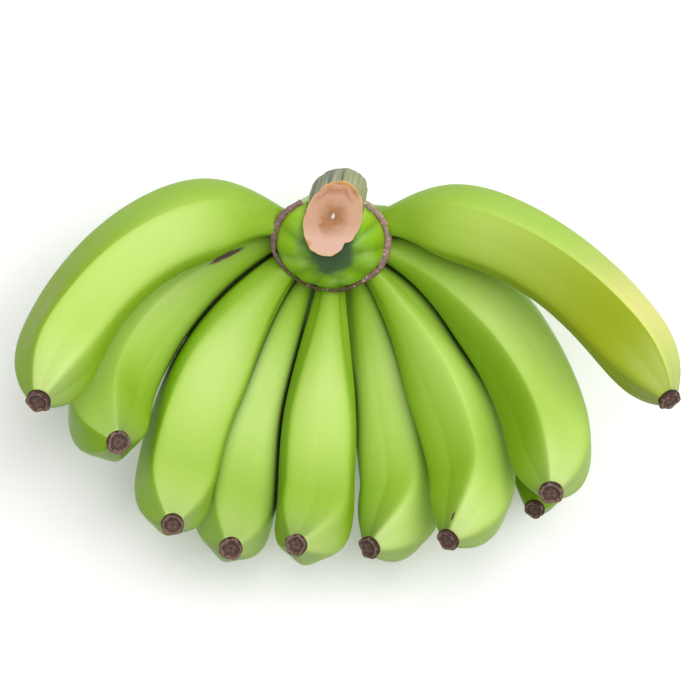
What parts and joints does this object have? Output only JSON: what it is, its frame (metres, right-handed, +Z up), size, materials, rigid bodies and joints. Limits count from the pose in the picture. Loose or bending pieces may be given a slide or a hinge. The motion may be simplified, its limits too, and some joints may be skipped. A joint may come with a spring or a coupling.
{
  "type": "hand of green bananas",
  "caption": "Hand of unripe green bananas, fanned and curled up from one crown, with a cut stub of stalk, lying on the backs of its lowest fingers.",
  "frame": {"origin": "centre of the footprint, on the surface that the hand lies on", "axes": "+Z up, +X across the fan of fingers, -Y to the side that the front fingers point to"},
  "size_m": [0.2818, 0.178, 0.1522],
  "materials": {
    "peel": "satin, waxy green peel with paler ridges",
    "crown_skin": "satin, waxy green skin with shallow grooves",
    "dry_brown": "dry, rough brown plant tissue",
    "stalk_fibre": "fibrous grey-green wall with a pinkish cut face"
  },
  "bodies": {
    "root": {"stalk": "stalk_fibre", "crown": "crown_skin", "bract_scar": "dry_brown", "banana_01": "peel", "banana_02": "peel", "banana_03": "peel", "banana_04": "peel", "banana_05": "peel", "banana_06": "peel", "banana_07": "peel", "banana_08": "peel", "banana_09": "peel", "banana_10": "peel", "flower_end_01": "dry_brown", "flower_end_02": "dry_brown", "flower_end_03": "dry_brown", "flower_end_04": "dry_brown", "flower_end_05": "dry_brown", "flower_end_06": "dry_brown", "flower_end_07": "dry_brown", "flower_end_08": "dry_brown", "flower_end_09": "dry_brown", "flower_end_10": "dry_brown"}
  },
  "joints": []
}
